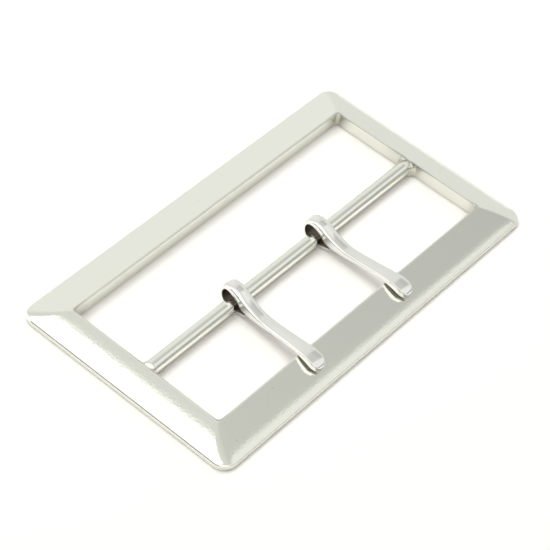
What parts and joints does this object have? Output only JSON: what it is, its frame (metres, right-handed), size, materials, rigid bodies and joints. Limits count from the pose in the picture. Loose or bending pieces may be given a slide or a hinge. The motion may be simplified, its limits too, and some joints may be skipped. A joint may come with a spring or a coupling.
{
  "type": "belt buckle",
  "caption": "Wide rectangular belt buckle: a bevelled metal frame, a round centre bar, and loose hinged prongs whose tips rest on one long rail.",
  "frame": {"origin": "middle of the buckle's length and width, on the plane of its flat back", "axes": "+X along the long side, +Y across the strap slots from the tip rail towards the other long rail, +Z out of the front face"},
  "size_m": [0.094, 0.0536, 0.0059],
  "materials": {
    "frame_metal": "bright nickel plate on a polished die casting, with fine plating pits",
    "bar_metal": "bright nickel plate",
    "prong_metal": "bright nickel plate over formed wire, slightly rippled"
  },
  "bodies": {
    "frame": {"frame": "frame_metal", "centre_bar": "bar_metal"},
    "left_prong": {"left_prong": "prong_metal"},
    "right_prong": {"right_prong": "prong_metal"}
  },
  "joints": [
    {"name": "left_prong_hinge", "type": "hinge", "parent": "frame", "child": "left_prong", "pos_m": [-0.0144, -0.00005, 0.00257], "axis": [-1, 0, 0], "range_deg": [0, 170]},
    {"name": "right_prong_hinge", "type": "hinge", "parent": "frame", "child": "right_prong", "pos_m": [0.0111, -0.00005, 0.00257], "axis": [-1, 0, 0], "range_deg": [0, 170]}
  ]
}
